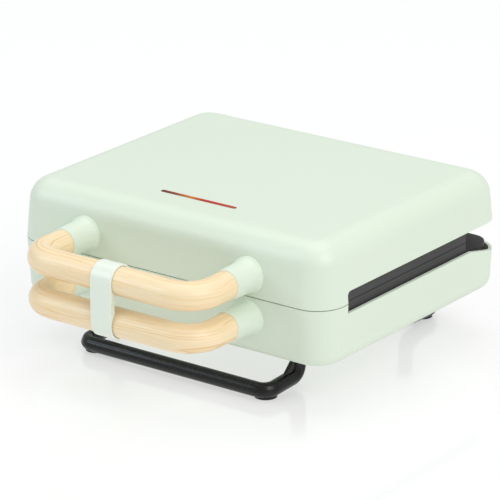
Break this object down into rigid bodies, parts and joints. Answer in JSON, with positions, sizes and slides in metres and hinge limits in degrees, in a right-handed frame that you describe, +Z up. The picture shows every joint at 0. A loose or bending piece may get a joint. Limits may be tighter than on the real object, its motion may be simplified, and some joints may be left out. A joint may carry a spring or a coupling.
{
  "type": "donut maker",
  "caption": "Two-plate countertop maker for small ring doughnuts, with a hinged lid, wooden U handles, a locking clip and raised U-bar feet.",
  "frame": {"origin": "middle of the whole outline, on the surface that the foot pads stand on", "axes": "+Z up, +X to the right of someone facing the handles, -Y towards that person"},
  "size_m": [0.25, 0.2688, 0.1118],
  "materials": {
    "shell_plastic": "satin",
    "clip_plastic": "satin",
    "frame_plastic": "matt",
    "foot_plastic": "satin",
    "steel": "plain",
    "nonstick_coating": "fine speckled non-stick",
    "element_sheath": "oxidised",
    "tray_sheet": "mill",
    "thermostat_case": "plain",
    "fuse_sleeve": "woven sleeve",
    "terminal_plastic": "plain",
    "gland_rubber": "matt",
    "pad_rubber": "matt",
    "handle_wood": "clear satin lacquer",
    "lamp_lens": "clear red",
    "circuit_board": "solder mask"
  },
  "bodies": {
    "base": {"lower_shell": "shell_plastic", "lower_plate_frame": "frame_plastic", "hinge_pins": "steel", "lower_frame_screws": "steel", "lower_donut_plate": "nonstick_coating", "lower_heating_element": "element_sheath", "lower_heat_tray": "tray_sheet", "lower_tray_screws": "steel", "thermostat": "thermostat_case", "thermal_fuse": "fuse_sleeve", "terminal_block": "terminal_plastic", "cord_gland": "gland_rubber", "lower_handle": "handle_wood", "lower_handle_screws": "steel", "front_foot": "foot_plastic", "rear_foot": "foot_plastic", "foot_pad_front_left": "pad_rubber", "foot_pad_front_right": "pad_rubber", "foot_pad_rear_left": "pad_rubber", "foot_pad_rear_right": "pad_rubber", "foot_screws": "steel"},
    "lid": {"upper_shell": "shell_plastic", "upper_plate_frame": "frame_plastic", "upper_frame_screws": "steel", "upper_donut_plate": "nonstick_coating", "upper_heating_element": "element_sheath", "upper_heat_tray": "tray_sheet", "upper_tray_screws": "steel", "indicator_lens": "lamp_lens", "indicator_board": "circuit_board", "upper_handle": "handle_wood", "upper_handle_screws": "steel"},
    "clip": {"locking_clip": "clip_plastic"}
  },
  "joints": [
    {"name": "lid_hinge", "type": "hinge", "parent": "base", "child": "lid", "pos_m": [0, 0.12475, 0.0685], "axis": [-1, 0, 0], "range_deg": [0, 100]},
    {"name": "clip_pivot", "type": "hinge", "parent": "lid", "child": "clip", "pos_m": [0, -0.12345, 0.0846], "axis": [-1, 0, 0], "range_deg": [0, 110]}
  ]
}
